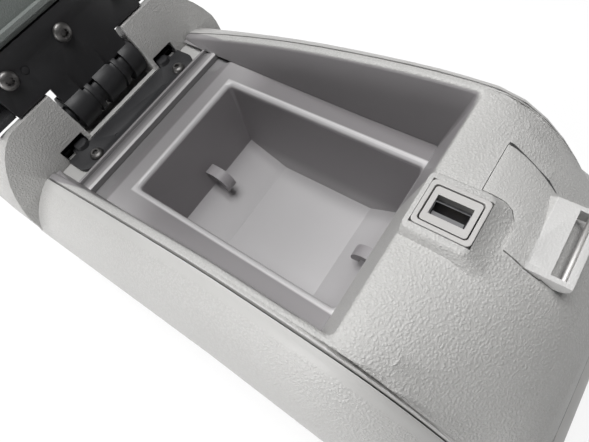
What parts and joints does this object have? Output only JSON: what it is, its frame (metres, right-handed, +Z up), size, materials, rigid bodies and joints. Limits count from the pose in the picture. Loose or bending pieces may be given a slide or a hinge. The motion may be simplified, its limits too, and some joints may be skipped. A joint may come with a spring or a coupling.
{
  "type": "car centre armrest",
  "caption": "Centre armrest box with a storage liner, a rear-hinged padded lid, a slotted catch tongue and a charging socket on the rounded nose",
  "frame": {"origin": "middle of the rectangle of four console bolt holes, on the plane the box stands on", "axes": "X to the front of the car, Y to the left, Z up"},
  "size_m": [0.3719, 0.1772, 0.3433],
  "materials": {
    "shell_plastic": "leather-grained moulding",
    "trim_plastic": "leather-grained moulding",
    "liner_plastic": "satin moulding",
    "satin_plastic": "smooth satin",
    "black_plastic": "fine grain",
    "panel_plastic": "flat fine grain",
    "white_plastic": "smooth",
    "black_metal": "satin black coat",
    "bright_steel": "plated",
    "dark_steel": "dark plated",
    "contact_brass": "plated contact",
    "pad_leather": "soft grained cover",
    "buffer_rubber": "plain"
  },
  "bodies": {
    "box": {"outer_shell": "shell_plastic", "upper_trim": "trim_plastic", "bin_liner": "liner_plastic", "base_pan": "black_plastic", "base_screws": "dark_steel", "trim_screws": "dark_steel", "hinge_bracket": "black_metal", "bracket_screws": "bright_steel", "hinge_pin": "bright_steel", "pin_clips": "bright_steel", "hinge_spacers": "black_plastic", "catch_insert": "trim_plastic", "catch_bar": "bright_steel", "insert_screws": "dark_steel", "usb_bezel": "satin_plastic", "usb_plate": "satin_plastic", "usb_socket": "bright_steel", "usb_tongue": "white_plastic", "usb_contacts": "contact_brass", "usb_housing": "black_plastic"},
    "lid": {"hinge_arm": "black_metal", "lid_screws": "bright_steel", "lid_shell": "black_plastic", "lid_panel": "panel_plastic", "panel_screws": "dark_steel", "lid_pad": "pad_leather", "lid_buffers": "buffer_rubber", "latch_pin": "bright_steel"},
    "latch": {"latch_lever": "black_plastic", "latch_spring": "bright_steel"}
  },
  "joints": [
    {"name": "lid_hinge", "type": "hinge", "parent": "box", "child": "lid", "pos_m": [-0.122, 0, 0.08], "axis": [0, 1, 0], "range_deg": [0, 96]},
    {"name": "latch_press", "type": "hinge", "parent": "lid", "child": "latch", "pos_m": [-0.17967, 0.0124, 0.33024], "axis": [0, 1, 0], "range_deg": [0, 7], "stiffness_Nm_per_rad": 0.05}
  ]
}
